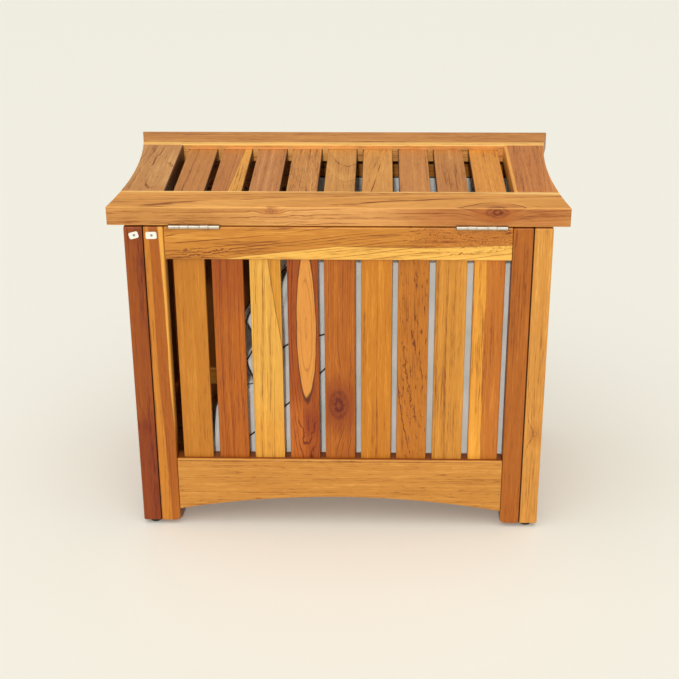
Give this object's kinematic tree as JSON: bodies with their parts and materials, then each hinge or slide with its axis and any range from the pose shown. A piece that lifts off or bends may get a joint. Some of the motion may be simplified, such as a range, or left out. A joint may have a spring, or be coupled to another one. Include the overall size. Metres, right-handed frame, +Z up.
{
  "type": "shower stool",
  "caption": "Slatted teak shower stool: a hinged seat lid with hollow ends over a slatted storage box on four legs, with a soft fabric liner bag.",
  "frame": {"origin": "on the floor, in the middle of the object's bounding box", "axes": "+Z up; the back, where the hinges are, faces -Y; +X is to the right when looking at the back"},
  "size_m": [0.6106, 0.3396, 0.488],
  "materials": {
    "teak_honey": "oiled teak, honey brown",
    "teak_gold": "oiled teak, golden",
    "teak_pale": "oiled teak sapwood, pale yellow",
    "teak_tan": "oiled teak, pinkish tan",
    "teak_russet": "oiled teak, reddish brown",
    "teak_umber": "oiled teak, dark brown",
    "stainless_steel": "satin stainless steel",
    "black_rubber": "matt black",
    "clear_rubber": "translucent soft bumper",
    "liner_fabric": "light grey woven fabric",
    "label_paper": "white sticker"
  },
  "bodies": {
    "stool_body": {"left_rear_post": "teak_umber", "left_front_post": "teak_umber", "right_rear_post": "teak_gold", "right_front_post": "teak_gold", "rear_stile_left": "teak_honey", "rear_stile_right": "teak_russet", "rear_top_rail": "teak_honey", "rear_bottom_rail": "teak_gold", "rear_slat_1": "teak_honey", "rear_slat_2": "teak_russet", "rear_slat_3": "teak_pale", "rear_slat_4": "teak_russet", "rear_slat_5": "teak_russet", "rear_slat_6": "teak_gold", "rear_slat_7": "teak_russet", "rear_slat_8": "teak_gold", "rear_slat_9": "teak_honey", "front_stile_left": "teak_gold", "front_stile_right": "teak_honey", "front_top_rail": "teak_gold", "front_bottom_rail": "teak_honey", "front_slat_panel": "teak_honey", "left_top_rail": "teak_russet", "left_bottom_rail": "teak_russet", "left_slat_panel": "teak_honey", "right_top_rail": "teak_gold", "right_bottom_rail": "teak_gold", "right_slat_panel": "teak_honey", "left_ledger": "teak_russet", "right_ledger": "teak_russet", "floor_panel": "teak_honey", "hinge_leaf_fixed_left": "stainless_steel", "hinge_leaf_fixed_right": "stainless_steel", "hinge_pin_left": "stainless_steel", "hinge_pin_right": "stainless_steel", "foot_glide_left_rear": "black_rubber", "foot_glide_left_front": "black_rubber", "lid_bumper_left": "clear_rubber", "foot_glide_right_rear": "black_rubber", "foot_glide_right_front": "black_rubber", "lid_bumper_right": "clear_rubber", "liner_bag": "liner_fabric", "post_label": "label_paper", "stile_label": "label_paper"},
    "lid": {"lid_rear_rail": "teak_gold", "lid_front_rail": "teak_gold", "lid_end_left": "teak_tan", "lid_end_right": "teak_russet", "seat_slat_1": "teak_tan", "seat_slat_2": "teak_tan", "seat_slat_3": "teak_tan", "seat_slat_4": "teak_gold", "seat_slat_5": "teak_tan", "seat_slat_6": "teak_gold", "seat_slat_7": "teak_tan", "seat_slat_8": "teak_russet", "seat_slat_9": "teak_gold", "hinge_leaf_lid_left": "stainless_steel", "hinge_leaf_lid_right": "stainless_steel"}
  },
  "joints": [
    {"name": "lid_hinge", "type": "hinge", "parent": "stool_body", "child": "lid", "pos_m": [0, -0.16725, 0.461], "axis": [1, 0, 0], "range_deg": [0, 100]}
  ]
}
